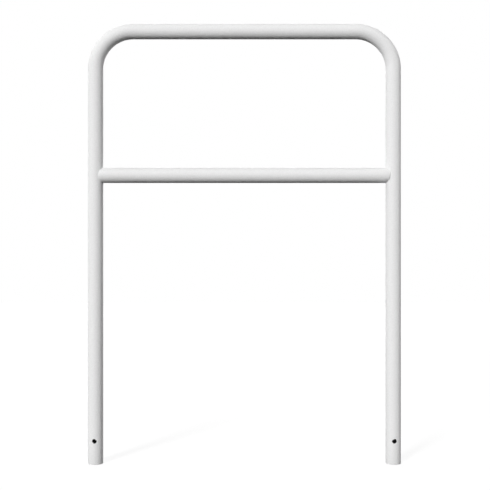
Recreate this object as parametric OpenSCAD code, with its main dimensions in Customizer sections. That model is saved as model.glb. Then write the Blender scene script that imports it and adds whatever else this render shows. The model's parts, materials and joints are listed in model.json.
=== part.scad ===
// Hoop barrier: one bent tube with two legs, and a cross rail welded between the legs.
// Millimetres. +X runs from the left leg to the right leg, -Y is the front, +Z is up.
// The origin lies between the two legs, level with their lower ends.

/* [Tube] */
// Outside diameter of the hoop and of the cross rail
tube_d = 48.3; // [42.4:0.1:60.3]
// Wall of the hoop and of the cross rail
tube_wall = 3.2; // [2:0.1:5]

/* [Hoop] */
// Overall width, over the outsides of the legs
hoop_w = 1000; // [600:10:2000]
// Overall height, from the leg ends to the top of the hoop
hoop_h = 1404; // [1100:1:1800]
// Bend radius of the upper corners, at the middle of the tube
bend_r = 120; // [80:5:200]

/* [Cross rail] */
// Height of the middle of the cross rail above the leg ends
rail_z = 920; // [400:5:950]
// Fit-up gap between the coped end of the rail and the leg
cope_gap = 0.2; // [0.1:0.1:0.5]
// How far short of the leg's full contact with the rail's wall the ears are squared off
ear_trim = 1.1; // [0.3:0.1:1.5]
// Radius of the ears' corners, seen from the front
ear_round = 12; // [4:0.5:14]

/* [Welds] */
// Leg length of the fillet, from the seam to each toe
weld_leg = 2; // [1.5:0.5:4]
// Rise of the weld's face over a straight line between its toes
weld_crown = 0.2; // [0:0.1:0.5]

/* [Anchor holes] */
// Diameter of the cross hole in each leg
anchor_d = 14; // [8:0.5:20]
// Height of the cross holes above the leg ends
anchor_z = 75; // [30:5:300]

/* [Vent holes] */
// Diameter of the vent in each leg wall, hidden inside the end of the rail
vent_d = 12; // [6:1:20]

/* [Hidden] */

$fn = 180;
tube_r = tube_d / 2;
bore_r = tube_r - tube_wall;
leg_x = hoop_w / 2 - tube_r;
top_z = hoop_h - tube_r;
leg_h = top_z - bend_r;
top_half = leg_x - bend_r;

// A cut runs this far past what it cuts
over = 1;

// The rail's coped end follows this radius about the leg's axis
cope_r = tube_r + cope_gap;
// Distance from the leg's axis to the blunt end of the ears
ear_x = sqrt(pow(cope_r, 2) - pow(bore_r, 2)) + ear_trim;
// The ears' ends are straight to this height over and under the rail's axis
ear_flat = ear_x - (sqrt(2) - 1) * ear_round;
// The corners turn by this much, and then run on along the cope, in steps of so many degrees
corner_turn = 45;
corner_step = 5;

// Rings of points along each weld, and points across the weld's face
weld_rings = 72;
face_points = 5;
// Depth of the weld's hidden edges under the surfaces that trim them
weld_sink = 0.3;
weld_root = 1.2;
// Half the stretch over which the weld's direction is averaged, in degrees round the rail
turn_span = 5;

coat = [0.93, 0.93, 0.92];

function unit(v) = v / norm(v);
function arc_mm(a) = a * PI / 180 * tube_r;
function arc_deg(s) = s * 180 / PI / tube_r;

// The ears' outline seen from the front: across from the leg's axis, and up from the rail's
function ear_corner(t) = [ear_x + ear_round * (1 - cos(t)), ear_flat + ear_round * sin(t)];

// Where the rail ends along its own axis, at angle a round it, with 0 in front and 90 on top
function end_x(a) = let (
    z = tube_r * abs(sin(a)),
    turn = asin(max(0, min(1, (z - ear_flat) / ear_round)))
) turn < corner_turn ? ear_corner(turn)[0] : z;

// A point on the leg's surface from its angle t, with 0 in front and 90 towards the rail
function on_leg(t, z, r = tube_r) = [r * sin(t), -r * cos(t), z];
// A point on the rail's surface from its angle a
function on_rail(a, x, r = tube_r) = [x, -r * cos(a), r * sin(a)];

// The seam laid flat: round the leg and up it, then round the rail and along it
function leg_angle(a) = cos(a) >= 0 ? asin(end_x(a) / tube_r) : 180 - asin(end_x(a) / tube_r);
function flat_leg(a) = [arc_mm(leg_angle(a)), tube_r * sin(a)];
function flat_rail(a) = [arc_mm(a), end_x(a)];

// Directions square to the seam: outwards over the leg, and along the rail away from the leg
function leg_out(a) = let (t = flat_leg(a + turn_span) - flat_leg(a - turn_span)) unit([-t[1], t[0]]);
function rail_out(a) = let (t = flat_rail(a + turn_span) - flat_rail(a - turn_span)) unit([-t[1], t[0]]);

// Height of the ear's blunt end over the leg, which is nothing where the rail is coped
function ear_step(a) = tube_r * (abs(cos(a)) - cos(asin(end_x(a) / tube_r)));

// The toe on the rail: up the ear's blunt end first, and what is left of its length along the rail
function rail_toe(a) = let (
    up = min(weld_leg, ear_step(a)),
    flat = flat_rail(a) + (weld_leg - up) * rail_out(a),
    point = on_rail(arc_deg(flat[0]), flat[1]),
    down = up < weld_leg ? 0 : ear_step(a) - weld_leg
) point + [0, down * sign(cos(a)), 0];

// The toe on the leg
function leg_toe(a, r = tube_r) = let (flat = flat_leg(a) + weld_leg * leg_out(a))
    on_leg(arc_deg(flat[0]), flat[1], r);

// One section of the weld: its face from the rail to the leg, and its hidden root
function weld_section(a) = let (
    leg_n = on_leg(leg_angle(a), 0, 1),
    rail_n = on_rail(a, 0, 1),
    rise = weld_crown * unit(leg_n + rail_n),
    foot = on_leg(leg_angle(a), tube_r * sin(a)) - weld_root * (leg_n + rail_n)
) [
    rail_toe(a) + weld_sink * ([1, 0, 0] - rail_n),
    for (i = [1 : face_points])
        let (s = i / (face_points + 1))
            (1 - s) * rail_toe(a) + s * leg_toe(a) + 4 * s * (1 - s) * rise,
    leg_toe(a, tube_r - weld_sink),
    [max(foot[0], ear_x + weld_sink), foot[1], foot[2]]
];

// A closed ring of sections, as one solid
module ring_sweep(sections) {
    count = len(sections);
    size = len(sections[0]);
    points = [for (s = sections) each s];
    faces = [
        for (k = [0 : count - 1], i = [0 : size - 1])
            let (m = (k + 1) % count, j = (i + 1) % size)
                each [
                    [k * size + i, m * size + j, m * size + i],
                    [k * size + i, k * size + j, m * size + j]
                ]
    ];
    polyhedron(points, faces, convexity = 6);
}

// A solid bar that follows the hoop, with its lower ends moved down by extra
module hoop_bar(r, extra = 0) {
    for (side = [-1, 1]) {
        translate([side * leg_x, 0, -extra])
            cylinder(r = r, h = leg_h + extra);
        translate([side * top_half, 0, leg_h])
            rotate([90, 0, 0])
                mirror([side < 0 ? 1 : 0, 0, 0])
                    rotate_extrude(angle = 90)
                        translate([bend_r, 0])
                            circle(r = r);
    }
    translate([-top_half, 0, top_z])
        rotate([0, 90, 0])
            cylinder(r = r, h = 2 * top_half);
}

module hoop_tube() {
    color(coat)
        difference() {
            hoop_bar(tube_r);
            hoop_bar(bore_r, over);
            for (side = [-1, 1]) {
                translate([side * leg_x, 0, anchor_z])
                    rotate([90, 0, 0])
                        cylinder(d = anchor_d, h = tube_d + 2 * over, center = true);
                translate([side * leg_x, 0, rail_z])
                    rotate([0, -90 * side, 0])
                        cylinder(d = vent_d, h = tube_r + over);
            }
        }
}

// A bar along the rail's axis, from one leg's axis to the other's
module rail_bar(r, extra = 0) {
    half = leg_x + extra;
    translate([-half, 0, rail_z])
        rotate([0, 90, 0])
            cylinder(r = r, h = 2 * half);
}

// What is cut off the rail at both ends to leave its blunt ears with their rounded corners
module ear_cuts() {
    reach = tube_r + over;
    upper = [for (t = [0 : corner_step : corner_turn]) ear_corner(t), [reach, reach]];
    lower = [for (i = [len(upper) - 1 : -1 : 0]) [upper[i][0], -upper[i][1]]];
    for (side = [-1, 1])
        translate([side * leg_x, 0, rail_z])
            mirror([side > 0 ? 1 : 0, 0, 0])
                rotate([90, 0, 0])
                    linear_extrude(height = 2 * reach, center = true)
                        polygon(concat([[-over, -reach]], lower, upper, [[-over, reach]]));
}

// Two upright bars about the legs' axes, as tall as the rail needs
module leg_bars(r) {
    for (side = [-1, 1])
        translate([side * leg_x, 0, rail_z - 2 * tube_d])
            cylinder(r = r, h = 4 * tube_d);
}

module cross_rail() {
    color(coat)
        difference() {
            rail_bar(tube_r);
            rail_bar(bore_r, over);
            ear_cuts();
            leg_bars(cope_r);
        }
}

// The weld round one end of the rail: side is -1 for the left leg and 1 for the right leg
module rail_weld(side) {
    color(coat)
        difference() {
            translate([side * leg_x, 0, rail_z])
                mirror([side > 0 ? 1 : 0, 0, 0])
                    ring_sweep([
                        for (k = [0 : weld_rings - 1]) weld_section(360 * k / weld_rings)
                    ]);
            difference() {
                rail_bar(tube_r);
                ear_cuts();
            }
            leg_bars(tube_r);
        }
}

module left_weld() rail_weld(-1);

module right_weld() rail_weld(1);

hoop_tube();
cross_rail();
left_weld();
right_weld();
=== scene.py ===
"""The hoop barrier dressed for show: fine tubes and weld beads, powder coat, floor, lamps, camera.

Lengths are metres and angles degrees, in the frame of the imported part: +X runs from the left leg
to the right leg, -Y is the front and +Z is up.
"""

import json
import logging
import math
from collections.abc import Callable, Iterator
from contextlib import contextmanager
from dataclasses import dataclass, field
from enum import Enum
from functools import cached_property

import bmesh
import bpy
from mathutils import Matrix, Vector

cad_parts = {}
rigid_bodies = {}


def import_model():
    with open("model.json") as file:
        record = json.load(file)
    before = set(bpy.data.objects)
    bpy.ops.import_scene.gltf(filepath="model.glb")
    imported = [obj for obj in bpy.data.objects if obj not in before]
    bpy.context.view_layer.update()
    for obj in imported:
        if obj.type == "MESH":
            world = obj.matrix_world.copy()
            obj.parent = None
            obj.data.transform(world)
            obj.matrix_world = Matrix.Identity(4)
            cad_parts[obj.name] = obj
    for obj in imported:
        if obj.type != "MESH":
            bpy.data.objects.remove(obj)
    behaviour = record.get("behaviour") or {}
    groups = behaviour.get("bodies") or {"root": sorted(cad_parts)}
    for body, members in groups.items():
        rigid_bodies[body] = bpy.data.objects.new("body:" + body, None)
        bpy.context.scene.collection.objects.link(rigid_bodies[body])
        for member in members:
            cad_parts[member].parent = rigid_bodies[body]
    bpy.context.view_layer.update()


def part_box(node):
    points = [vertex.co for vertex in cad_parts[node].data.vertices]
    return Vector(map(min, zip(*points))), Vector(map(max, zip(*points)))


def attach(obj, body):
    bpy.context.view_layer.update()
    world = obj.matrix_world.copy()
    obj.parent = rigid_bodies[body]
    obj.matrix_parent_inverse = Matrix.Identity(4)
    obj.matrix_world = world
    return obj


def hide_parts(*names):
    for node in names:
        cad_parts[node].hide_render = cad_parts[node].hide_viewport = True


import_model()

LOG = logging.getLogger("hoop_barrier")
BODY = "root"
NEAR = 1e-5
AT_EDGE = 3 * NEAR

# Most of a noise pattern lies between these values
NOISE_LOW, NOISE_HIGH = 0.3, 0.7
# Material slots: the one of the faces beside a rounding, and the one of the tube's bare inside, whose
# dark colour is painted shade
SAME_SLOT, BARE_AND_SHADE_SLOT = -1, 1

TUBE_D = 0.0483
WALL = 0.0032
WIDTH = 1.0
LEG_X = (WIDTH - TUBE_D) / 2
RAIL_Z = 0.92


class Side(Enum):
    """The two sides of the hoop, each with the sign of its place along X."""

    LEFT = -1
    RIGHT = 1


class Element(Enum):
    """What a selection in edit mode is made of."""

    VERTS = "VERT"
    EDGES = "EDGE"
    FACES = "FACE"


def deselect_all() -> None:
    """Leaves no object selected."""
    for item in bpy.context.view_layer.objects:
        item.select_set(False)


def pick(piece: bpy.types.Object) -> None:
    """Makes a piece the only selected and the active one.

    Args:
        piece: The object to work on.
    """
    deselect_all()
    piece.select_set(True)
    bpy.context.view_layer.objects.active = piece


@contextmanager
def editing(piece: bpy.types.Object) -> Iterator[None]:
    """Opens a piece in edit mode for the length of a block.

    Args:
        piece: The object to edit.

    Yields:
        Nothing, while the piece is open.
    """
    pick(piece)
    bpy.ops.object.mode_set(mode="EDIT")
    yield
    bpy.ops.object.mode_set(mode="OBJECT")


def select(piece: bpy.types.Object, element: Element, test: Callable[..., bool]) -> int:
    """Selects what passes a test, in edit mode.

    Args:
        piece: The object being edited.
        element: Vertices, edges or faces.
        test: Says of one vertex, edge or face whether it is selected.

    Returns:
        How many were selected.
    """
    bpy.ops.mesh.select_mode(type=element.value)
    bpy.ops.mesh.select_all(action="DESELECT")
    mesh = bmesh.from_edit_mesh(piece.data)
    lists = {Element.VERTS: mesh.verts, Element.EDGES: mesh.edges, Element.FACES: mesh.faces}
    chosen = [item for item in lists[element] if test(item)]
    for item in chosen:
        item.select_set(True)
    mesh.select_flush_mode()
    bmesh.update_edit_mesh(piece.data)
    return len(chosen)


def move_verts(piece: bpy.types.Object, place: Callable[[Vector], Vector | None]) -> None:
    """Moves vertices by their place, in edit mode.

    Args:
        piece: The object being edited.
        place: Gives a vertex's new place, or None where it stays.
    """
    mesh = bmesh.from_edit_mesh(piece.data)
    for vert in mesh.verts:
        spot = place(vert.co)
        if spot is not None:
            vert.co = spot
    mesh.normal_update()
    bmesh.update_edit_mesh(piece.data)


def extrude_by(step: Vector) -> None:
    """Extrudes the selection along a vector, in edit mode."""
    bpy.ops.mesh.extrude_region_move(TRANSFORM_OT_translate={"value": tuple(step)})


def bevel_edges(
    piece: bpy.types.Object,
    width: float,
    segments: int,
    test: Callable[[bmesh.types.BMEdge], bool],
    slot: int = SAME_SLOT,
) -> None:
    """Rounds the edges that pass a test, in edit mode.

    Args:
        piece: The object being edited.
        width: Width of the rounding on each side of the edge.
        segments: Faces across the rounding.
        test: Says of one edge whether it is rounded.
        slot: Material slot of the rounding, or SAME_SLOT for the one of the faces beside it.
    """
    count = select(piece, Element.EDGES, test)
    bpy.ops.mesh.bevel(
        offset=width, segments=segments, profile=0.5, affect="EDGES", material=slot
    )
    LOG.info("%s: %d edges rounded to %.2f mm", piece.name, count, width * 1000)


def add_ring(
    name: str, sides: int, radius: float, centre: Vector, turn: Vector
) -> bpy.types.Object:
    """Adds a ring of edges to build a tube from.

    Args:
        name: Name of the new piece.
        sides: Edges round the ring.
        radius: Radius of the ring.
        centre: Where the ring's middle lies.
        turn: How far it is turned about X, Y and Z from lying flat, in degrees.

    Returns:
        The new piece, with its place in its mesh.
    """
    deselect_all()
    turned = [math.radians(angle) for angle in turn]
    bpy.ops.mesh.primitive_circle_add(
        vertices=sides, radius=radius, location=centre, rotation=turned
    )
    piece = bpy.context.object
    piece.name = piece.data.name = name
    bpy.ops.object.transform_apply(location=True, rotation=True, scale=True)
    return piece


def apply_modifiers(piece: bpy.types.Object) -> None:
    """Applies all modifiers of a piece in their order.

    Args:
        piece: The piece with the modifiers.
    """
    pick(piece)
    for modifier in list(piece.modifiers):
        bpy.ops.object.modifier_apply(modifier=modifier.name)


def add_wall(piece: bpy.types.Object, wall: float, inner_slot: int) -> None:
    """Gives an open skin its wall, inwards.

    Args:
        piece: The skin, with its faces pointing outwards.
        wall: Thickness of the wall.
        inner_slot: Steps from the outer skin's material slot to the inner one's.
    """
    modifier = piece.modifiers.new("wall", "SOLIDIFY")
    modifier.thickness = wall
    modifier.offset = -1
    modifier.use_even_offset = True
    modifier.material_offset = inner_slot
    apply_modifiers(piece)


def smooth(piece: bpy.types.Object, crease: float) -> None:
    """Shades a piece smooth, with sharp edges where faces meet at more than so many degrees."""
    pick(piece)
    bpy.ops.object.shade_smooth_by_angle(angle=math.radians(crease))


def settle(piece: bpy.types.Object, node: str) -> None:
    """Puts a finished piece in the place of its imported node.

    Args:
        piece: The finished piece.
        node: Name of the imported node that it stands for.
    """
    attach(piece, BODY)
    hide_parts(node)
    low, high = ([round(1000 * v, 1) for v in corner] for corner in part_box(node))
    faces = len(piece.data.polygons)
    LOG.info("%s stands for %s: %d faces, packed box %s to %s mm", piece.name, node, faces, low, high)


class NodeSheet:
    """A material's or world's nodes, with short calls that add and join them."""

    # Numbers of the Mix node's colour sockets, whose names its other kinds share
    mix_amount, mix_first, mix_second, mix_result = 0, 6, 7, 2

    def __init__(self, tree: bpy.types.NodeTree) -> None:
        """Takes a node tree to fill, and empties it."""
        self.tree = tree
        tree.nodes.clear()

    def add(
        self, kind: str, settings: dict[str, object] | None = None, **sockets: object
    ) -> bpy.types.Node:
        """Adds a node.

        Args:
            kind: The node's type without its ShaderNode in front.
            settings: Values of the node's own properties.
            sockets: Its inputs by name, spaces written as underscores: a value, or an output to join.

        Returns:
            The new node.
        """
        node = self.tree.nodes.new("ShaderNode" + kind)
        for name, value in (settings or {}).items():
            setattr(node, name, value)
        for name, value in sockets.items():
            self.feed(node, name.replace("_", " "), value)
        return node

    def feed(self, node: bpy.types.Node, socket: str | int, value: object) -> None:
        """Sets or joins one input.

        Args:
            node: The node that takes the input.
            socket: The input's name or number.
            value: A value, or an output to join.
        """
        target = node.inputs[socket]
        if isinstance(value, bpy.types.NodeSocket):
            self.tree.links.new(value, target)
        else:
            target.default_value = value

    def math(self, operation: str, *values: object) -> bpy.types.NodeSocket:
        """Adds a maths node.

        Args:
            operation: Its operation.
            values: Its inputs, in order.

        Returns:
            Its output.
        """
        node = self.add("Math", {"operation": operation})
        for index, value in enumerate(values):
            self.feed(node, index, value)
        return node.outputs[0]

    def noise(self, place: object, size: float, detail: float) -> bpy.types.NodeSocket:
        """Adds a noise pattern of a cell size, with so many finer layers that halve in strength."""
        node = self.add("TexNoise", Vector=place, Scale=1 / size, Detail=detail, Roughness=0.5)
        return node.outputs["Fac"]

    def spread(
        self, value: object, low: float, high: float, to_low: float, to_high: float
    ) -> bpy.types.NodeSocket:
        """Maps one range of values to another and stays inside it.

        Args:
            value: What is mapped.
            low: Lower end of the range read.
            high: Upper end of the range read.
            to_low: What the lower end becomes.
            to_high: What the upper end becomes.

        Returns:
            The mapped value.
        """
        node = self.add(
            "MapRange", Value=value, From_Min=low, From_Max=high, To_Min=to_low, To_Max=to_high
        )
        return node.outputs["Result"]

    def tint(self, amount: object, first: object, second: object) -> bpy.types.NodeSocket:
        """Mixes two colours.

        Args:
            amount: 0 for the first colour, 1 for the second.
            first: A colour in linear red, green, blue and alpha, or an output to join.
            second: Another one.

        Returns:
            The mixed colour.
        """
        node = self.add("Mix", {"data_type": "RGBA"})
        self.feed(node, self.mix_amount, amount)
        self.feed(node, self.mix_first, first)
        self.feed(node, self.mix_second, second)
        return node.outputs[self.mix_result]


def new_material(name: str) -> tuple[bpy.types.Material, NodeSheet]:
    """Makes an empty material.

    Args:
        name: The material's name.

    Returns:
        The material and its node sheet.
    """
    material = bpy.data.materials.new(name)
    material.use_nodes = True
    return material, NodeSheet(material.node_tree)


@dataclass(frozen=True)
class PowderCoat:
    """White satin powder coat: a fine peel, sparse nibs with a painted highlight, a faint mottle and
    an uneven gloss.
    """

    colour: tuple[float, float, float] = (0.850, 0.850, 0.850)
    thin_colour: tuple[float, float, float] = (0.800, 0.800, 0.800)
    # Lighter colour of the nibs: a painted highlight on the raised specks
    nib_highlight_colour: tuple[float, float, float] = (0.87, 0.87, 0.87)
    roughness: float = 0.68
    gloss_change: float = 0.06
    gloss: float = 0.2
    mottle_size: float = 0.0035
    mottle_detail: float = 2.0
    gloss_size: float = 0.007
    gloss_detail: float = 3.0
    peel_size: float = 0.0055
    peel_depth: float = 0.00045
    fine_size: float = 0.0022
    fine_depth: float = 0.00006
    grain_size: float = 0.0009
    grain_depth: float = 0.00002
    nib_spacing: float = 0.04
    nib_size: float = 0.003
    nib_depth: float = 0.0003
    relief_detail: float = 1.0

    def nibs(self, sheet: NodeSheet, place: object) -> bpy.types.NodeSocket:
        """Scatters small raised specks through space, which show where the skin meets one.

        Args:
            sheet: The material's nodes.
            place: The coordinates that the pattern reads.

        Returns:
            1 in a speck's middle, down to 0 at its edge and elsewhere.
        """
        cells = sheet.add("TexVoronoi", Vector=place, Scale=1 / self.nib_spacing)
        edge = self.nib_size / self.nib_spacing
        speck = sheet.spread(cells.outputs["Distance"], 0.0, edge, 1.0, 0.0)
        return sheet.math("MULTIPLY", speck, speck)

    def relief(self, sheet: NodeSheet, place: object, nibs: object) -> bpy.types.NodeSocket:
        """Builds the coat's peel, grain and nibs as one normal.

        Args:
            sheet: The material's nodes.
            place: The coordinates that the pattern reads.
            nibs: The raised specks.

        Returns:
            The bumped normal.
        """
        normal = None
        layers = (
            (sheet.noise(place, self.peel_size, self.relief_detail), self.peel_depth),
            (sheet.noise(place, self.fine_size, self.relief_detail), self.fine_depth),
            (sheet.noise(place, self.grain_size, self.relief_detail), self.grain_depth),
            (nibs, self.nib_depth),
        )
        for height, depth in layers:
            bump = sheet.add("Bump", Height=height, Distance=depth, Strength=1.0)
            if normal is not None:
                sheet.feed(bump, "Normal", normal)
            normal = bump.outputs["Normal"]
        return normal

    def material(self) -> bpy.types.Material:
        """Makes the material.

        Returns:
            The powder coat.
        """
        material, sheet = new_material("white_powder_coat")
        place = sheet.add("TexCoord").outputs["Object"]
        nibs = self.nibs(sheet, place)
        mottle = sheet.noise(place, self.mottle_size, self.mottle_detail)
        mottle = sheet.spread(mottle, NOISE_LOW, NOISE_HIGH, 0.0, 1.0)
        plain = sheet.tint(mottle, (*self.colour, 1.0), (*self.thin_colour, 1.0))
        gloss = sheet.spread(
            sheet.noise(place, self.gloss_size, self.gloss_detail),
            NOISE_LOW,
            NOISE_HIGH,
            self.roughness - self.gloss_change,
            self.roughness + self.gloss_change,
        )
        # The nibs' lighter colour is a painted highlight on the raised specks
        shader = sheet.add(
            "BsdfPrincipled",
            Base_Color=sheet.tint(nibs, plain, (*self.nib_highlight_colour, 1.0)),
            Roughness=gloss,
            Specular_IOR_Level=self.gloss,
            Normal=self.relief(sheet, place, nibs),
        )
        sheet.add("OutputMaterial", Surface=shader.outputs[0])
        return material


@dataclass(frozen=True)
class BareBoreWithPaintedShade:
    """The tube's inside: dull bare metal, whose dark colour is also painted shade for the hollow tube
    and its holes, with the powder that drifted in close to the open ends.
    """

    # Bare metal's colour, made this dark as painted shade for the tube's hollow inside and its holes
    steel_dark_as_painted_shade: tuple[float, float, float] = (0.10, 0.10, 0.105)
    stained: tuple[float, float, float] = (0.055, 0.05, 0.046)
    powder: tuple[float, float, float] = (0.62, 0.62, 0.61)
    powder_reach: float = 0.03
    powder_change: float = 0.01
    roughness: float = 0.62
    stained_roughness: float = 0.74
    metallic: float = 0.35
    stain_size: float = 0.02
    stain_detail: float = 4.0
    stain_low: float = 0.35
    stain_high: float = 0.65
    grain_size: float = 0.0015
    grain_detail: float = 3.0
    grain_depth: float = 0.00002

    def material(self) -> bpy.types.Material:
        """Makes the material.

        Returns:
            The bare inside of the tube, dark as painted shade.
        """
        material, sheet = new_material("bare_tube_inside_painted_shade")
        place = sheet.add("TexCoord").outputs["Object"]
        height = sheet.add("SeparateXYZ", Vector=place).outputs["Z"]
        stain = sheet.noise(place, self.stain_size, self.stain_detail)
        stain = sheet.spread(stain, self.stain_low, self.stain_high, 0.0, 1.0)
        change = sheet.spread(stain, 0.0, 1.0, -self.powder_change, self.powder_change)
        drift = sheet.math("ADD", height, change)
        dust = sheet.spread(drift, 0.0, self.powder_reach, 1.0, 0.0)
        # The dark metal colour is painted shade; the stains on it are real
        metal = sheet.tint(stain, (*self.steel_dark_as_painted_shade, 1.0), (*self.stained, 1.0))
        grain = sheet.noise(place, self.grain_size, self.grain_detail)
        bump = sheet.add("Bump", Height=grain, Distance=self.grain_depth)
        shader = sheet.add(
            "BsdfPrincipled",
            Base_Color=sheet.tint(dust, metal, (*self.powder, 1.0)),
            Roughness=sheet.spread(stain, 0.0, 1.0, self.roughness, self.stained_roughness),
            Metallic=self.metallic,
            Normal=bump.outputs["Normal"],
        )
        sheet.add("OutputMaterial", Surface=shader.outputs[0])
        return material


@dataclass(frozen=True)
class Hole:
    """A round hole through one wall of an upright leg.

    Its turn is the way that it faces: 0 degrees towards the right, 90 towards the back.
    """

    leg_x: float
    z: float
    turn: float
    radius: float


@dataclass
class HoopTube:
    """The bent tube: two legs and a top, with a hole through each leg and a vent behind the rail."""

    tube_d: float = TUBE_D
    wall: float = WALL
    width: float = WIDTH
    height: float = 1.404
    bend_r: float = 0.12
    hole_d: float = 0.014
    hole_z: float = 0.075
    vent_d: float = 0.012
    rail_z: float = RAIL_Z
    sides: int = 144
    bend_steps: int = 48
    patch_sides: int = 10
    patch_cuts: int = 4
    hole_edge: float = 0.0004
    bore_edge: float = 0.0003
    rim_edge: float = 0.0007
    edge_segments: int = 4
    bore_segments: int = 2
    rim_share: float = 0.95
    crease: float = 35

    @cached_property
    def tube_r(self) -> float:
        """Outside radius of the tube."""
        return self.tube_d / 2

    @cached_property
    def bore_r(self) -> float:
        """Inside radius of the tube."""
        return self.tube_r - self.wall

    @property
    def leg_x(self) -> float:
        """Distance from the middle of the hoop to a leg's axis."""
        return self.width / 2 - self.tube_r

    @property
    def leg_h(self) -> float:
        """Length of a leg's straight part."""
        return self.height - self.tube_r - self.bend_r

    @property
    def top_half(self) -> float:
        """Half the length of the top's straight part."""
        return self.leg_x - self.bend_r

    @property
    def side_angle(self) -> float:
        """Angle of one side of the tube."""
        return 360 / self.sides

    @cached_property
    def patch(self) -> float:
        """Half the size of the square patch of skin round a hole, measured over the skin."""
        return self.tube_r * math.radians(self.side_angle * self.patch_sides)

    @cached_property
    def holes(self) -> list[Hole]:
        """The holes: front and back near each leg's end, and one vent a leg, facing the rail.

        Returns:
            The six holes, the left leg's first.
        """
        found = []
        for side in Side:
            leg_x = side.value * self.leg_x
            for turn in (-90.0, 90.0):
                found.append(Hole(leg_x, self.hole_z, turn, self.hole_d / 2))
            towards_rail = 0.0 if side is Side.LEFT else 180.0
            found.append(Hole(leg_x, self.rail_z, towards_rail, self.vent_d / 2))
        return found

    def stations(self) -> list[float]:
        """Heights of the rings up a leg, close together where a hole is cut.

        Returns:
            The heights, from the first ring over the leg's end to the top of its straight part.
        """
        steps = range(-self.patch_sides, self.patch_sides + 1)
        step = self.patch / self.patch_sides
        rings = [z + step * k for z in (self.hole_z, self.rail_z) for k in steps]
        return [*rings, self.leg_h]

    def make_skin(self) -> bpy.types.Object:
        """Extrudes and spins the tube's outer skin from one leg end to the other.

        Returns:
            The open skin.
        """
        start = Vector((-self.leg_x, 0, 0))
        piece = add_ring("hoop", self.sides, self.tube_r, start, Vector((0, 0, 0)))
        with editing(piece):
            bpy.ops.mesh.select_all(action="SELECT")
            climb = [0.0, *self.stations()]
            for low, high in zip(climb, climb[1:]):
                extrude_by(Vector((0, 0, high - low)))
            self.spin_bend(Side.LEFT)
            extrude_by(Vector((2 * self.top_half, 0, 0)))
            self.spin_bend(Side.RIGHT)
            for low, high in reversed(list(zip(climb, climb[1:]))):
                extrude_by(Vector((0, 0, low - high)))
            bpy.ops.mesh.select_all(action="SELECT")
            bpy.ops.mesh.remove_doubles(threshold=NEAR / 10)
            move_verts(piece, lambda spot: Vector((spot.x, spot.y, 0)) if spot.z < NEAR else None)
            bpy.ops.mesh.select_all(action="SELECT")
            bpy.ops.mesh.normals_make_consistent(inside=False)
        return piece

    def spin_bend(self, side: Side) -> None:
        """Spins the selected ring through one upper corner, in edit mode.

        Args:
            side: The corner's side.
        """
        bpy.ops.mesh.spin(
            steps=self.bend_steps,
            angle=math.radians(-90),
            center=(side.value * self.top_half, 0, self.leg_h),
            axis=(0, 1, 0),
        )

    def on_patch(self, spot: Vector, hole: Hole) -> tuple[float, float]:
        """Measures a point from a hole's middle, over the skin.

        Args:
            spot: A point of the leg.
            hole: The hole.

        Returns:
            How far round the leg and how far up the point lies, on the outer skin.
        """
        turn = math.degrees(math.atan2(spot.y, spot.x - hole.leg_x))
        off = (turn - hole.turn + 180) % 360 - 180
        return self.tube_r * math.radians(off), spot.z - hole.z

    def on_skin(self, around: float, up: float, hole: Hole, radius: float) -> Vector:
        """The point at a radius of the leg, so far round its skin and up it from a hole's middle."""
        turn = math.radians(hole.turn) + around / self.tube_r
        return Vector((hole.leg_x + radius * math.cos(turn), radius * math.sin(turn), hole.z + up))

    def in_patch(self, spot: Vector, hole: Hole, slack: float = NEAR) -> bool:
        """Says whether a point lies in the square patch of skin round a hole.

        Args:
            spot: The point.
            hole: The hole.
            slack: How far outside the patch a point still counts, or inside it where negative.

        Returns:
            Whether it lies there.
        """
        if abs(spot.z - hole.z) > self.tube_r or abs(spot.x - hole.leg_x) > self.tube_d:
            return False
        around, up = self.on_patch(spot, hole)
        return max(abs(around), abs(up)) < self.patch + slack

    def round_place(self, around: float, up: float, radius: float) -> tuple[float, float]:
        """Sends a point of the patch's square outline to the hole's edge.

        Args:
            around: Distance round the leg of a point on the outline.
            up: Distance up the leg of that point.
            radius: The hole's radius.

        Returns:
            The same two distances for the point of the hole's edge that it belongs to.
        """
        if abs(around) >= abs(up):
            turn = 45 * up / abs(around)
            turn = turn if around > 0 else 180 - turn
        else:
            turn = 90 - 45 * around / abs(up)
            turn = turn if up > 0 else -turn
        across = radius * math.cos(math.radians(turn))
        return self.tube_r * math.asin(across / self.tube_r), radius * math.sin(math.radians(turn))

    def open_hole(self, piece: bpy.types.Object, hole: Hole) -> None:
        """Cuts one round hole in the skin, in edit mode, with even rings of faces round it.

        Args:
            piece: The skin.
            hole: The hole to cut.
        """
        select(piece, Element.FACES, lambda f: self.in_patch(f.calc_center_median(), hole, -NEAR))
        bpy.ops.mesh.delete(type="FACE")
        select(
            piece,
            Element.EDGES,
            lambda e: e.is_boundary and all(self.in_patch(v.co, hole) for v in e.verts),
        )
        bpy.ops.mesh.extrude_region_move()
        mesh = bmesh.from_edit_mesh(piece.data)
        for vert in [v for v in mesh.verts if v.select]:
            around, up = self.round_place(*self.on_patch(vert.co, hole), hole.radius)
            vert.co = self.on_skin(around, up, hole, self.tube_r)
        bmesh.update_edit_mesh(piece.data)
        self.ring_the_hole(piece, hole)

    def ring_the_hole(self, piece: bpy.types.Object, hole: Hole) -> None:
        """Adds rings between the patch's square outline and the hole, and lays them on the skin.

        Args:
            piece: The skin.
            hole: The hole.
        """

        def joins(edge: bmesh.types.BMEdge) -> bool:
            """Says whether an edge runs from the outline to the hole.

            Args:
                edge: An edge of the skin.

            Returns:
                Whether one end lies on the patch's outline and the other inside it.
            """
            if not all(self.in_patch(vert.co, hole) for vert in edge.verts):
                return False
            return sum(self.in_patch(vert.co, hole, -NEAR) for vert in edge.verts) == 1

        select(piece, Element.EDGES, joins)
        bpy.ops.mesh.subdivide_edgering(
            number_cuts=self.patch_cuts, interpolation="LINEAR", smoothness=0
        )

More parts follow.
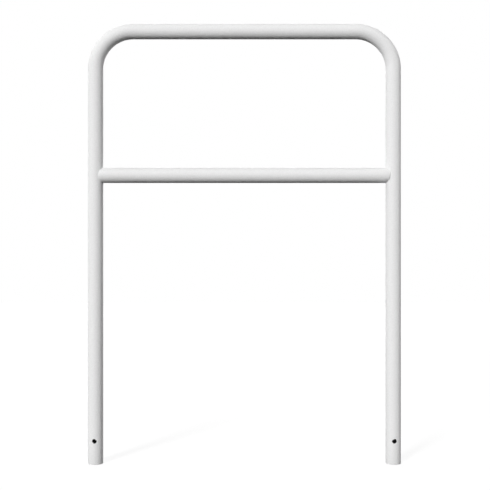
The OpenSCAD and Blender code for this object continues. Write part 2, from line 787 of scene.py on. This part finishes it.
        def lay(spot: Vector) -> Vector | None:
            """Puts a point of the patch back on the skin.

            Args:
                spot: A point of the skin.

            Returns:
                Its new place, or None outside the patch.
            """
            if not self.in_patch(spot, hole):
                return None
            around, up = self.on_patch(spot, hole)
            return self.on_skin(around, up, hole, self.tube_r)

        move_verts(piece, lay)

    def square_up_bore(self, piece: bpy.types.Object, hole: Hole) -> None:
        """Makes a hole's wall parallel to its axis on the inner skin, in edit mode.

        Args:
            piece: The hoop with its wall.
            hole: The hole.
        """

        def widen(spot: Vector) -> Vector | None:
            """Moves a point of the inner skin outwards round the leg, most at the hole's edge.

            Args:
                spot: A point of the hoop.

            Returns:
                Its new place, or None off the inner skin or outside the patch.
            """
            about = math.hypot(spot.x - hole.leg_x, spot.y)
            if abs(about - self.bore_r) > self.wall / 3 or not self.in_patch(spot, hole):
                return None
            around, up = self.on_patch(spot, hole)
            across = self.tube_r * math.sin(around / self.tube_r)
            reach = math.hypot(across, up)
            edge = self.patch * reach / max(abs(across), abs(up))
            share = min(1.0, max(0.0, (edge - reach) / (edge - hole.radius)))
            if share > self.rim_share:
                fit = hole.radius / reach
                across, up, share = across * fit, up * fit, 1.0
            wide = across / self.tube_r * (1 + share * (self.tube_r / self.bore_r - 1))
            return self.on_skin(self.tube_r * math.asin(wide), up, hole, self.bore_r)

        move_verts(piece, widen)

    def in_hole_wall(self, face: bmesh.types.BMFace) -> bool:
        """Says whether a face belongs to the wall of a hole.

        Args:
            face: A face of the hoop.

        Returns:
            Whether its middle lies in a hole, between the inner and the outer skin.
        """
        spot = face.calc_center_median()
        for hole in self.holes:
            if not self.in_patch(spot, hole):
                continue
            about = math.hypot(spot.x - hole.leg_x, spot.y)
            across = about * math.sin(self.on_patch(spot, hole)[0] / self.tube_r)
            off = math.hypot(across, spot.z - hole.z)
            return off < hole.radius + NEAR and self.bore_r < about < self.tube_r
        return False

    def bare_holes_with_painted_shade(self, piece: bpy.types.Object) -> None:
        """Gives the holes' walls the dark bare material, as drilled after coating and as painted
        shade in the holes, in edit mode.

        Args:
            piece: The hoop with its wall.
        """
        # The dark material on the holes' walls paints shade into the holes
        count = select(piece, Element.FACES, self.in_hole_wall)
        piece.active_material_index = BARE_AND_SHADE_SLOT
        bpy.ops.object.material_slot_assign()
        LOG.info("%s: %d faces of the holes' walls left bare", piece.name, count)

    def at_hole(self, edge: bmesh.types.BMEdge, radius: float) -> bool:
        """Says whether an edge runs round a hole at one radius of the leg.

        Args:
            edge: The edge.
            radius: The leg's outer or inner radius.

        Returns:
            Whether both ends lie on a hole's edge at that radius.
        """
        return any(
            all(self.round_hole(vert.co, hole, radius) for vert in edge.verts)
            for hole in self.holes
        )

    def round_hole(self, spot: Vector, hole: Hole, radius: float) -> bool:
        """Says whether a point lies on a hole's edge at one radius of the leg.

        Args:
            spot: The point.
            hole: The hole.
            radius: The leg's outer or inner radius.

        Returns:
            Whether it lies on that edge.
        """
        if not self.in_patch(spot, hole):
            return False
        around, up = self.on_patch(spot, hole)
        across = radius * math.sin(around / self.tube_r)
        about = math.hypot(spot.x - hole.leg_x, spot.y)
        return max(abs(math.hypot(across, up) - hole.radius), abs(about - radius)) < AT_EDGE

    def at_rim(self, edge: bmesh.types.BMEdge, radius: float) -> bool:
        """Says whether an edge runs round a leg's open end at one radius.

        Args:
            edge: The edge.
            radius: The leg's outer or inner radius.

        Returns:
            Whether both its ends lie on that rim.
        """
        return all(
            vert.co.z < NEAR
            and abs(math.hypot(abs(vert.co.x) - self.leg_x, vert.co.y) - radius) < AT_EDGE
            for vert in edge.verts
        )

    def round_edges(self, piece: bpy.types.Object) -> None:
        """Rounds the edges of the holes, whose metal is bare and painted dark as shade, and of the
        open ends, in edit mode.

        Args:
            piece: The hoop with its wall.
        """
        outer, inner = self.tube_r, self.bore_r
        bevel_edges(
            piece, self.hole_edge, self.edge_segments, lambda e: self.at_hole(e, outer), BARE_AND_SHADE_SLOT
        )
        bevel_edges(
            piece, self.bore_edge, self.bore_segments, lambda e: self.at_hole(e, inner), BARE_AND_SHADE_SLOT
        )
        bevel_edges(piece, self.rim_edge, self.edge_segments, lambda e: self.at_rim(e, outer))
        bevel_edges(piece, self.bore_edge, self.bore_segments, lambda e: self.at_rim(e, inner))

    def build(self, coat: bpy.types.Material, bore: bpy.types.Material) -> bpy.types.Object:
        """Builds the hoop.

        Args:
            coat: Material of the outside.
            bore: Material of the inside.

        Returns:
            The finished piece.
        """
        piece = self.make_skin()
        piece.data.materials.append(coat)
        piece.data.materials.append(bore)
        with editing(piece):
            for hole in self.holes:
                self.open_hole(piece, hole)
        # The inner skin takes the dark bare material, partly painted shade
        add_wall(piece, self.wall, inner_slot=BARE_AND_SHADE_SLOT)
        with editing(piece):
            for hole in self.holes:
                self.square_up_bore(piece, hole)
            self.bare_holes_with_painted_shade(piece)
            self.round_edges(piece)
        smooth(piece, self.crease)
        settle(piece, "hoop_tube")
        return piece


@dataclass
class CopedEnd:
    """How the rail ends against a leg: coped round it, with blunt ears in front and behind."""

    tube_r: float = TUBE_D / 2
    bore_r: float = TUBE_D / 2 - WALL
    cope_gap: float = 0.0002
    ear_trim: float = 0.0011
    ear_round: float = 0.012
    corner_turn: float = 45

    @property
    def cope_r(self) -> float:
        """Radius of the cope about the leg's axis."""
        return self.tube_r + self.cope_gap

    @property
    def ear_x(self) -> float:
        """Distance from the leg's axis to the blunt end of the ears."""
        return math.sqrt(self.cope_r**2 - self.bore_r**2) + self.ear_trim

    @property
    def ear_flat(self) -> float:
        """Height over the rail's axis to which the ears' ends are straight."""
        return self.ear_x - (math.sqrt(2) - 1) * self.ear_round

    def ear_line(self, z: float) -> float:
        """Distance from the leg's axis to the ears' outline, seen from the front.

        Args:
            z: Height over the rail's axis.

        Returns:
            The distance.
        """
        turn = math.asin(max(0.0, min(1.0, (abs(z) - self.ear_flat) / self.ear_round)))
        if turn < math.radians(self.corner_turn):
            return self.ear_x + self.ear_round * (1 - math.cos(turn))
        return abs(z)

    def reach(self, y: float, z: float) -> float:
        """Distance from the leg's axis to the rail's end, at y across and z over the rail's axis."""
        return max(math.sqrt(self.cope_r**2 - y * y), self.ear_line(z))


@dataclass
class CrossRail:
    """The straight tube between the legs, coped to them at both ends."""

    tube_d: float = TUBE_D
    wall: float = WALL
    leg_x: float = LEG_X
    rail_z: float = RAIL_Z
    sides: int = 144
    end_zone: float = 0.032
    end_cuts: int = 3
    end_edge: float = 0.0004
    edge_segments: int = 3
    crease: float = 35
    end: CopedEnd = field(default_factory=CopedEnd)

    def shape_ends(self, piece: bpy.types.Object) -> None:
        """Copes both ends, in edit mode.

        Args:
            piece: The rail with its wall.
        """

        def cope(spot: Vector) -> Vector | None:
            """Moves a point of an end face to the cope or the ears.

            Args:
                spot: A point of the rail.

            Returns:
                Its new place, or None away from the ends.
            """
            if abs(spot.x) < self.leg_x - self.end_zone + NEAR:
                return None
            far = self.leg_x - self.end.reach(spot.y, spot.z - self.rail_z)
            return Vector((math.copysign(far, spot.x), spot.y, spot.z))

        select(
            piece,
            Element.EDGES,
            lambda e: all(abs(v.co.x) > self.leg_x - NEAR for v in e.verts)
            and abs(self.off_axis(e.verts[0].co) - self.off_axis(e.verts[1].co)) > self.wall / 2,
        )
        bpy.ops.mesh.subdivide_edgering(
            number_cuts=self.end_cuts, interpolation="LINEAR", smoothness=0
        )
        move_verts(piece, cope)

    def off_axis(self, spot: Vector) -> float:
        """Distance of a point from the rail's axis."""
        return math.hypot(spot.y, spot.z - self.rail_z)

    def build(self, coat: bpy.types.Material, bore: bpy.types.Material) -> bpy.types.Object:
        """Builds the rail.

        Args:
            coat: Material of the outside and the ends.
            bore: Material of the inside.

        Returns:
            The finished piece.
        """
        start = Vector((-self.leg_x, 0, self.rail_z))
        piece = add_ring("rail", self.sides, self.tube_d / 2, start, Vector((0, 90, 0)))
        piece.data.materials.append(coat)
        piece.data.materials.append(bore)
        middle = 2 * (self.leg_x - self.end_zone)
        with editing(piece):
            bpy.ops.mesh.select_all(action="SELECT")
            for length in (self.end_zone, middle, self.end_zone):
                extrude_by(Vector((length, 0, 0)))
            bpy.ops.mesh.select_all(action="SELECT")
            bpy.ops.mesh.normals_make_consistent(inside=False)
        # The inner skin takes the dark bare material, partly painted shade
        add_wall(piece, self.wall, inner_slot=BARE_AND_SHADE_SLOT)
        with editing(piece):
            self.shape_ends(piece)
            bevel_edges(piece, self.end_edge, self.edge_segments, self.at_end)
        smooth(piece, self.crease)
        settle(piece, "cross_rail")
        return piece

    def at_end(self, edge: bmesh.types.BMEdge) -> bool:
        """Says whether an edge runs round the outside of an end.

        Args:
            edge: An edge of the rail.

        Returns:
            Whether both its points lie on the outside at one of the rail's ends.
        """
        return all(
            abs(vert.co.x) > self.leg_x - self.end_zone + NEAR
            and abs(self.off_axis(vert.co) - self.tube_d / 2) < NEAR
            for vert in edge.verts
        )


@dataclass
class WeldBead:
    """The fillet weld round one end of the rail, with the ripples that its making left."""

    side: Side
    leg_x: float = LEG_X
    rail_z: float = RAIL_Z
    cope_leg: float = 0.0008
    cope_share: float = 0.6
    ear_leg: float = 0.0011
    ear_share: float = 0.35
    ear_fade: float = 0.0025
    crown: float = 0.0001
    sink: float = 0.0003
    root: float = 0.0012
    turn_span: float = 5
    ripple_pitch: float = 0.0013
    ripple_height: float = 0.00004
    ripple_bow: float = 0.45
    toe_wave: float = 0.05
    rings_per_ripple: int = 8
    face_points: int = 11
    samples: int = 1440
    plain_r: float = 1.0
    plain_section_r: float = 0.25
    crease: float = 50
    end: CopedEnd = field(default_factory=CopedEnd)

    def end_x(self, turn: float) -> float:
        """Distance from the leg's axis to the rail's end, at an angle round the rail."""
        return self.end.ear_line(self.end.tube_r * math.sin(math.radians(turn)))

    def leg_turn(self, turn: float) -> float:
        """Angle round the leg of the seam, at an angle round the rail."""
        back = math.degrees(math.asin(min(1.0, self.end_x(turn) / self.end.tube_r)))
        return back if math.cos(math.radians(turn)) >= 0 else 180 - back

    def flat_leg(self, turn: float) -> Vector:
        """The seam laid flat on the leg: round it and up it."""
        r = self.end.tube_r
        return Vector((math.radians(self.leg_turn(turn)) * r, r * math.sin(math.radians(turn))))

    def flat_rail(self, turn: float) -> Vector:
        """The seam laid flat on the rail: round it and along it."""
        return Vector((math.radians(turn) * self.end.tube_r, self.end_x(turn)))

    def away(self, flat: Callable[[float], Vector], turn: float) -> Vector:
        """Direction that leads squarely off a seam laid flat, at an angle round the rail."""
        run = flat(turn + self.turn_span) - flat(turn - self.turn_span)
        return Vector((-run.y, run.x)).normalized()

    def on_leg(self, turn: float, z: float, radius: float) -> Vector:
        """A point about the leg's axis, with 0 degrees in front and 90 towards the rail."""
        angle = math.radians(turn)
        return Vector((radius * math.sin(angle), -radius * math.cos(angle), z))

    def on_rail(self, turn: float, x: float, radius: float) -> Vector:
        """A point about the rail's axis, with 0 degrees in front and 90 on top."""
        angle = math.radians(turn)
        return Vector((x, -radius * math.cos(angle), radius * math.sin(angle)))

    def ear_step(self, turn: float) -> float:
        """Height of the ear's blunt end over the leg, which is nothing where the rail is coped."""
        over = math.cos(math.asin(min(1.0, self.end_x(turn) / self.end.tube_r)))
        return self.end.tube_r * (abs(math.cos(math.radians(turn))) - over)

    def reach(self, turn: float, ripple: float) -> tuple[float, float]:
        """How far the weld reaches from the seam, which is furthest at the ears' blunt ends.

        Args:
            turn: Angle round the rail.
            ripple: How many ripples lie between the start and this place.

        Returns:
            Its reach over the rail and over the leg.
        """
        blunt = min(1.0, max(0.0, self.ear_step(turn) / self.ear_fade))
        wave = 1 + self.toe_wave * math.cos(2 * math.pi * ripple)
        over_rail = wave * (self.cope_leg + blunt * (self.ear_leg - self.cope_leg))
        return over_rail, over_rail * (self.cope_share + blunt * (self.ear_share - self.cope_share))

    def rail_toe(self, turn: float, leg: float) -> Vector:
        """The weld's edge on the rail.

        Args:
            turn: Angle round the rail.
            leg: The weld's leg length there.

        Returns:
            The point, from the leg's axis and the rail's.
        """
        r = self.end.tube_r
        up = min(leg, self.ear_step(turn))
        flat = self.flat_rail(turn) + (leg - up) * self.away(self.flat_rail, turn)
        point = self.on_rail(math.degrees(flat.x / r), flat.y, r)
        down = 0.0 if up < leg else self.ear_step(turn) - leg
        return point + Vector((0, math.copysign(down, math.cos(math.radians(turn))), 0))

    def leg_toe(self, turn: float, leg: float, radius: float) -> Vector:
        """The weld's edge on the leg, for an angle round the rail, a leg length and a leg radius."""
        flat = self.flat_leg(turn) + leg * self.away(self.flat_leg, turn)
        return self.on_leg(math.degrees(flat.x / self.end.tube_r), flat.y, radius)

    def section(self, turn: float, ripple: float) -> list[Vector]:
        """One section of the weld.

        Args:
            turn: Angle round the rail.
            ripple: How many ripples lie between the start and this section.

        Returns:
            Its points: the hidden edge on the rail, the face, the hidden edge on the leg, the root.
        """
        r = self.end.tube_r
        over_rail, over_leg = self.reach(turn, ripple)
        leg_n = self.on_leg(self.leg_turn(turn), 0, 1)
        rail_n = self.on_rail(turn, 0, 1)
        out = (leg_n + rail_n).normalized()
        first, last = self.rail_toe(turn, over_rail), self.leg_toe(turn, over_leg, r)
        points = [first + self.sink * (Vector((1, 0, 0)) - rail_n)]
        for i in range(self.face_points):
            share = i / (self.face_points - 1)
            arch = 4 * share * (1 - share)
            wave = math.cos(2 * math.pi * (ripple - self.ripple_bow * arch))
            rise = arch * self.crown + math.sqrt(arch) * self.ripple_height * wave
            points.append(first.lerp(last, share) + rise * out)
        points.append(self.leg_toe(turn, over_leg, r - self.sink))
        foot = self.on_leg(self.leg_turn(turn), r * math.sin(math.radians(turn)), r)
        foot = foot - self.root * (leg_n + rail_n)
        points.append(Vector((max(foot.x, self.end.ear_x + self.sink), foot.y, foot.z)))
        return points

    def even_turns(self) -> list[float]:
        """Spaces the sections evenly along the seam, with a whole number of ripples round it.

        Returns:
            The sections' angles round the rail.
        """
        r = self.end.tube_r
        seam = [
            self.on_leg(self.leg_turn(t), r * math.sin(math.radians(t)), r)
            for t in (360 * k / self.samples for k in range(self.samples + 1))
        ]
        run = [0.0]
        for near, far in zip(seam, seam[1:]):
            run.append(run[-1] + (far - near).length)
        count = round(run[-1] / self.ripple_pitch) * self.rings_per_ripple
        turns, k = [], 0
        for ring in range(count):
            goal = run[-1] * ring / count
            while run[k + 1] < goal:
                k += 1
            share = (goal - run[k]) / (run[k + 1] - run[k])
            turns.append(360 * (k + share) / self.samples)
        return turns

    def build(self, coat: bpy.types.Material) -> bpy.types.Object:
        """Builds the bead from a ring of even sections.

        Args:
            coat: Its material.

        Returns:
            The finished piece.
        """
        turns = self.even_turns()
        sections = [self.section(t, k / self.rings_per_ripple) for k, t in enumerate(turns)]
        count, size = len(sections), len(sections[0])
        name = f"{self.side.name.lower()}_bead"
        start = Vector((self.plain_r, 0, 0))
        piece = add_ring(name, size, self.plain_section_r, start, Vector((90, 0, 0)))
        piece.data.materials.append(coat)
        origin = Vector((self.side.value * self.leg_x, 0, self.rail_z))
        inwards = -self.side.value

        def lay(spot: Vector) -> Vector:
            """Sends a point of the plain ring to its place in its section of the weld.

            Args:
                spot: A point of the plain ring.

            Returns:
                Its place on the bead.
            """
            major = math.atan2(spot.y, spot.x) / (2 * math.pi) * count
            across = math.hypot(spot.x, spot.y) - self.plain_r
            minor = math.atan2(spot.z, across) / (2 * math.pi) * size
            point = sections[round(major) % count][round(minor) % size]
            return origin + Vector((inwards * point.x, point.y, point.z))

        with editing(piece):
            bpy.ops.mesh.select_all(action="SELECT")
            bpy.ops.mesh.spin(steps=count, angle=2 * math.pi, center=(0, 0, 0), axis=(0, 0, 1))
            bpy.ops.mesh.select_all(action="SELECT")
            bpy.ops.mesh.remove_doubles(threshold=NEAR)
            move_verts(piece, lay)
            bpy.ops.mesh.select_all(action="SELECT")
            # Two points that were sent to the same place become one
            bpy.ops.mesh.remove_doubles(threshold=NEAR)
            bpy.ops.mesh.normals_make_consistent(inside=False)
        smooth(piece, self.crease)
        settle(piece, f"{self.side.name.lower()}_weld")
        return piece


@dataclass(frozen=True)
class WhiteFloor:
    """A plain white floor that the camera sees as bright as paper, with the object's soft shadow."""

    white: float = 1.015
    lamp_light: float = 0.78
    near_colour: float = 0.2
    far_colour: float = 0.02
    grain: float = 0.01
    grain_size: float = 0.004
    grain_detail: float = 2.0
    bounce_colour: float = 0.04
    near: float = 0.55
    far: float = 1.2
    size: float = 16.0
    sink: float = 0.0002

    def material(self) -> bpy.types.Material:
        """Makes the floor's material.

        Returns:
            White to the camera, and dark to the light that bounces off it. The glow fills up
            what the lamps leave, so the floor is as white near the legs as at its far edge.
        """
        material, sheet = new_material("pale_floor")
        place = sheet.add("TexCoord").outputs["Object"]
        off = sheet.add("VectorMath", {"operation": "LENGTH"}, Vector=place).outputs["Value"]
        colour = sheet.spread(off, self.near, self.far, self.near_colour, self.far_colour)
        glow = sheet.math("MULTIPLY_ADD", colour, -self.lamp_light, self.white)
        grain = sheet.noise(place, self.grain_size, self.grain_detail)
        grain = sheet.spread(grain, NOISE_LOW, NOISE_HIGH, -self.grain, self.grain)
        seen = sheet.math("ADD", colour, grain)
        bright = sheet.add("Emission", Strength=glow)
        skin = sheet.add("BsdfDiffuse", Color=seen)
        both = sheet.add("AddShader")
        sheet.feed(both, 0, bright.outputs[0])
        sheet.feed(both, 1, skin.outputs[0])
        dull = sheet.add("BsdfDiffuse", Color=(*(self.bounce_colour,) * 3, 1.0))
        mixed = sheet.add("MixShader", Fac=seen_directly(sheet))
        sheet.feed(mixed, 1, dull.outputs[0])
        sheet.feed(mixed, 2, both.outputs[0])
        sheet.add("OutputMaterial", Surface=mixed.outputs[0])
        return material

    def build(self) -> bpy.types.Object:
        """Lays the floor under the legs.

        Returns:
            The floor.
        """
        deselect_all()
        bpy.ops.mesh.primitive_plane_add(size=self.size, location=(0, 0, -self.sink))
        floor = bpy.context.object
        floor.name = "floor"
        bpy.ops.object.transform_apply(location=True, rotation=True, scale=True)
        floor.data.materials.append(self.material())
        return floor


def seen_directly(sheet: NodeSheet) -> bpy.types.NodeSocket:
    """Tells light that goes to the camera, a reflection or through glass from all other light.

    Args:
        sheet: The nodes to add to.

    Returns:
        1 for such light and 0 for other light.
    """
    path = sheet.add("LightPath").outputs
    first = sheet.math("MAXIMUM", path["Is Camera Ray"], path["Is Glossy Ray"])
    return sheet.math("MAXIMUM", first, path["Is Transmission Ray"])


@dataclass(frozen=True)
class Lamp:
    """A soft lamp, so far off that it lights the whole object alike.

    Its spread is how wide it looks from the object, in degrees.
    """

    name: str
    turn: float
    climb: float
    spread: float
    strength: float

    def build(self) -> bpy.types.Object:
        """Hangs the lamp: turned to the right from straight in front, and raised, in degrees.

        Returns:
            The lamp.
        """
        light = bpy.data.lights.new(self.name, "SUN")
        light.angle = math.radians(self.spread)
        light.energy = self.strength
        lamp = bpy.data.objects.new(self.name, light)
        lamp.rotation_euler = (math.radians(90 - self.climb), 0, math.radians(self.turn))
        bpy.context.scene.collection.objects.link(lamp)
        return lamp


@dataclass(frozen=True)
class Studio:
    """The soft studio light and the white surroundings."""

    ambient: float = 0.0
    lamps: tuple[Lamp, ...] = (
        Lamp("key", -29, 23, 12, 3.03),
        Lamp("front", -10, 0, 40, 0.28),
        Lamp("right", 95, 14, 60, 1.05),
        Lamp("right_front", 60, 20, 60, 0.21),
        Lamp("back_left", -137, 14, 90, 1.63),
        Lamp("back", 180, 12, 40, 1.8),
    )

    def build(self) -> None:
        """Lights the scene."""
        world = bpy.data.worlds.new("studio")
        world.use_nodes = True
        bpy.context.scene.world = world
        sheet = NodeSheet(world.node_tree)
        soft = sheet.add("Background", Color=(1, 1, 1, 1), Strength=self.ambient)
        white = sheet.add("Background", Color=(1, 1, 1, 1), Strength=1.0)
        mixed = sheet.add("MixShader", Fac=seen_directly(sheet))
        sheet.feed(mixed, 1, soft.outputs[0])
        sheet.feed(mixed, 2, white.outputs[0])
        sheet.add("OutputWorld", Surface=mixed.outputs[0])
        for lamp in self.lamps:
            lamp.build()
        bpy.context.scene.view_settings.view_transform = "Standard"


@dataclass(frozen=True)
class PhotoCamera:
    """The camera that looks at the hoop as the photograph does: level and square from the front."""

    place: tuple[float, float, float] = (0.0019, -2.901, 0.6976)
    lens: float = 66.64
    film: float = 36.0
    near: float = 0.01

    def build(self) -> bpy.types.Object:
        """Sets the camera up.

        Returns:
            The camera.
        """
        data = bpy.data.cameras.new("camera")
        data.lens = self.lens
        data.sensor_width = self.film
        data.dof.use_dof = False
        data.clip_start = self.near
        camera = bpy.data.objects.new("camera", data)
        camera.location = self.place
        camera.rotation_euler = (math.radians(90), 0, 0)
        bpy.context.scene.collection.objects.link(camera)
        bpy.context.scene.camera = camera
        return camera


def main() -> None:
    """Builds the camera, the dressed pieces, the floor and the light, and logs the pieces as they are
    made.
    """
    logging.basicConfig(level=logging.INFO, format="%(message)s")
    PhotoCamera().build()
    coat = PowderCoat().material()
    bore = BareBoreWithPaintedShade().material()
    HoopTube().build(coat, bore)
    CrossRail().build(coat, bore)
    for side in Side:
        WeldBead(side).build(coat)
    WhiteFloor().build()
    Studio().build()


if __name__ == "__main__":
    main()
